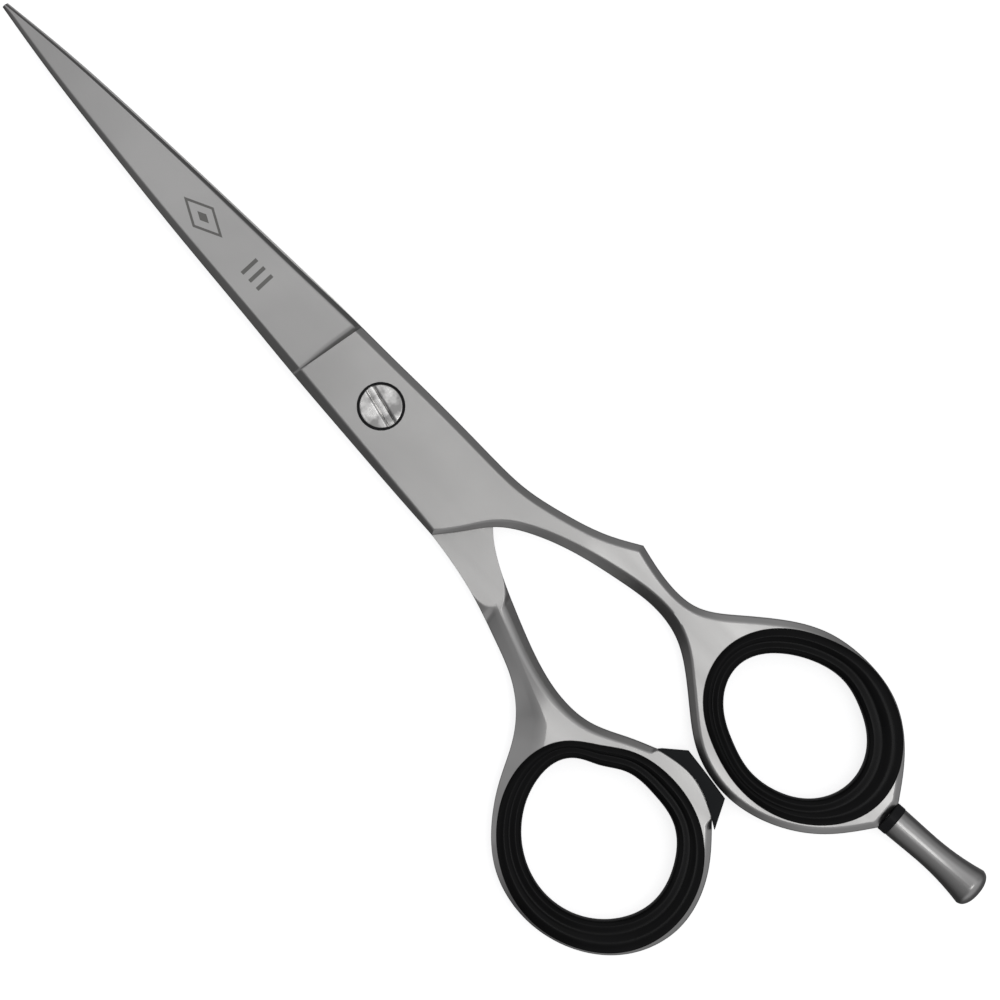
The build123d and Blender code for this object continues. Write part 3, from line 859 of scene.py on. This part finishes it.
class SHEARS_OT_screw(Operator):
    """Build the slotted screw that the halves turn on."""
    bl_idname = "shears.screw"
    bl_label = "Pivot screw"

    def execute(self, context):
        finish_piece(build_screw(), finish("polished_steel"), "screw", "polished_steel", "pivot_screw")
        return {"FINISHED"}


class SHEARS_OT_fittings(Operator):
    """Give the screw's cup, the finger rest and its washer their finishes."""
    bl_idname = "shears.fittings"
    bl_label = "Fittings"

    def execute(self, context):
        finishes = {"pivot_bushing": "black_nylon", "finger_rest": "satin_steel",
                    "finger_rest_washer": "black_nylon"}
        for node, name in finishes.items():
            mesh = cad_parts[node].data
            mesh.materials.clear()
            mesh.materials.append(finish(name))
        return {"FINISHED"}


def area_light(name, place, target, size, power):
    """A soft square lamp at a place in metres above its target, facing it."""
    data = bpy.data.lights.new(name, "AREA")
    data.size = size
    data.energy = power
    lamp = bpy.data.objects.new(name, data)
    away = (np.array(place) - np.array(target)).astype(float)
    away /= np.linalg.norm(away)
    side = np.cross([0, 1, 0], away)
    side /= np.linalg.norm(side)
    up = np.cross(away, side)
    turn = np.eye(4)
    turn[:3, 0] = side
    turn[:3, 1] = up
    turn[:3, 2] = away
    turn[:3, 3] = place
    lamp.matrix_world = Matrix(turn.tolist())
    bpy.context.scene.collection.objects.link(lamp)


class SHEARS_OT_stage(Operator):
    """Set the pale floor, the soft studio light and the camera."""
    bl_idname = "shears.stage"
    bl_label = "Stage"

    def execute(self, context):
        stage = context.scene.shears_stage
        half = stage.floor_size / 2
        corners = [(x, y, FLOOR_Z) for x, y in ((-half, -half), (half, -half), (half, half), (-half, half))]
        mesh = bpy.data.meshes.new("floor")
        mesh.from_pydata(corners, [], [(0, 1, 2, 3)])
        floor = bpy.data.objects.new("floor", mesh)
        context.scene.collection.objects.link(floor)
        material, tree, shader, place = new_material("pale_floor", (0.9, 0.9, 0.9), 0.0, 0.9)
        cloud = noise(tree, place, 2, 2)
        tree.links.new(blend_colours(tree, cloud, (0.88, 0.88, 0.88), (0.92, 0.92, 0.92)),
                       shader.inputs["Base Color"])
        shader.inputs["Emission Color"].default_value = (1, 1, 1, 1)
        shader.inputs["Emission Strength"].default_value = 0.75
        mesh.materials.append(material)
        floor.visible_glossy = False

        world = bpy.data.worlds.new("studio")
        context.scene.world = world
        world.use_nodes = True
        nodes = world.node_tree.nodes
        links = world.node_tree.links
        background = nodes["Background"]
        place = nodes.new("ShaderNodeTexCoord").outputs["Generated"]
        split = nodes.new("ShaderNodeSeparateXYZ")
        links.new(place, split.inputs["Vector"])
        ramp = nodes.new("ShaderNodeValToRGB")
        links.new(spread(world.node_tree, split.outputs["Y"], -1, 1, 0, 1), ramp.inputs["Fac"])
        for k, (place_on, grey) in enumerate(STUDIO_RAMP):
            stop = ramp.color_ramp.elements[k] if k < 2 else ramp.color_ramp.elements.new(place_on)
            stop.position = place_on
            stop.color = (grey, grey, grey * 1.02, 1)
        side = calculate(world.node_tree, "ABSOLUTE", split.outputs["X"])
        sides = nodes.new("ShaderNodeMixRGB")
        links.new(spread(world.node_tree, side, 0.35, 0.6, 0, 1), sides.inputs["Fac"])
        links.new(ramp.outputs["Color"], sides.inputs["Color1"])
        sides.inputs["Color2"].default_value = STUDIO_SIDES
        links.new(sides.outputs["Color"], background.inputs["Color"])
        low = spread(world.node_tree, split.outputs["Z"], -0.3, 0.15, 0.2, 0.88)
        ahead = spread(world.node_tree, split.outputs["X"], 0.75, 0.9, 1, 0.45)
        links.new(calculate(world.node_tree, "MULTIPLY", low, ahead), background.inputs["Strength"])
        backdrop = nodes.new("ShaderNodeBackground")
        backdrop.inputs["Color"].default_value = (1, 1, 1, 1)
        path = nodes.new("ShaderNodeLightPath")
        choose = nodes.new("ShaderNodeMixShader")
        links.new(path.outputs["Is Camera Ray"], choose.inputs["Fac"])
        links.new(background.outputs["Background"], choose.inputs[1])
        links.new(backdrop.outputs["Background"], choose.inputs[2])
        links.new(choose.outputs["Shader"], nodes["World Output"].inputs["Surface"])

        ring = np.linspace(0, 2 * np.pi, 48, endpoint=False)
        spots = np.stack([SHADE_R * np.cos(ring), SHADE_R * np.sin(ring), 0 * ring], 1) + SHADE_PLACE
        mesh = bpy.data.meshes.new("camera_shade")
        mesh.from_pydata(spots.tolist(), [], [tuple(range(48))])
        shade = bpy.data.objects.new("camera_shade", mesh)
        context.scene.collection.objects.link(shade)
        mesh.materials.append(new_material("dark_card", (0.02, 0.02, 0.02), 0.0, 0.9)[0])
        shade.visible_camera = False
        shade.visible_diffuse = False

        area_light("overhead", LAMP_PLACE, LAMP_TARGET, LAMP_SIDE, LAMP_POWER)

        data = bpy.data.cameras.new("camera")
        data.sensor_width = SENSOR
        data.lens = data.sensor_width * stage.distance / stage.frame_width
        data.clip_end = 20
        camera = bpy.data.objects.new("camera", data)
        right_x, right_y = ACROSS_FRAME
        x, y, z = FRAME_CENTRE
        camera.matrix_world = Matrix(((right_x, -right_y, 0, x), (right_y, right_x, 0, y),
                                      (0, 0, 1, stage.distance + z), (0, 0, 0, 1)))
        context.scene.collection.objects.link(camera)
        context.scene.camera = camera
        context.scene.view_settings.view_transform = "Standard"
        return {"FINISHED"}


OPERATORS = (SHEARS_OT_finishes, SHEARS_OT_halves, SHEARS_OT_grips, SHEARS_OT_stop, SHEARS_OT_screw,
             SHEARS_OT_fittings, SHEARS_OT_stage)


class SHEARS_PT_panel(Panel):
    """Lists the pieces to build and their sizes and colours."""
    bl_idname = "SHEARS_PT_panel"
    bl_label = "Shears"
    bl_space_type = "VIEW_3D"
    bl_region_type = "UI"
    bl_category = "Shears"

    def draw(self, context):
        for group in (context.scene.shears_steel, context.scene.shears_rubber, context.scene.shears_stage):
            box = self.layout.box()
            for name in group.__annotations__:
                box.prop(group, name)
        for operator in OPERATORS:
            self.layout.operator(operator.bl_idname)


CLASSES = (ShearsSteel, ShearsRubber, ShearsStage, *OPERATORS, SHEARS_PT_panel)


def register():
    for item in CLASSES:
        bpy.utils.register_class(item)
    bpy.types.Scene.shears_steel = PointerProperty(type=ShearsSteel)
    bpy.types.Scene.shears_rubber = PointerProperty(type=ShearsRubber)
    bpy.types.Scene.shears_stage = PointerProperty(type=ShearsStage)


def unregister():
    del bpy.types.Scene.shears_stage
    del bpy.types.Scene.shears_rubber
    del bpy.types.Scene.shears_steel
    for item in reversed(CLASSES):
        bpy.utils.unregister_class(item)


def main():
    register()
    for operator in OPERATORS:
        group, name = operator.bl_idname.split(".")
        getattr(getattr(bpy.ops, group), name)()


if __name__ == "__main__":
    main()
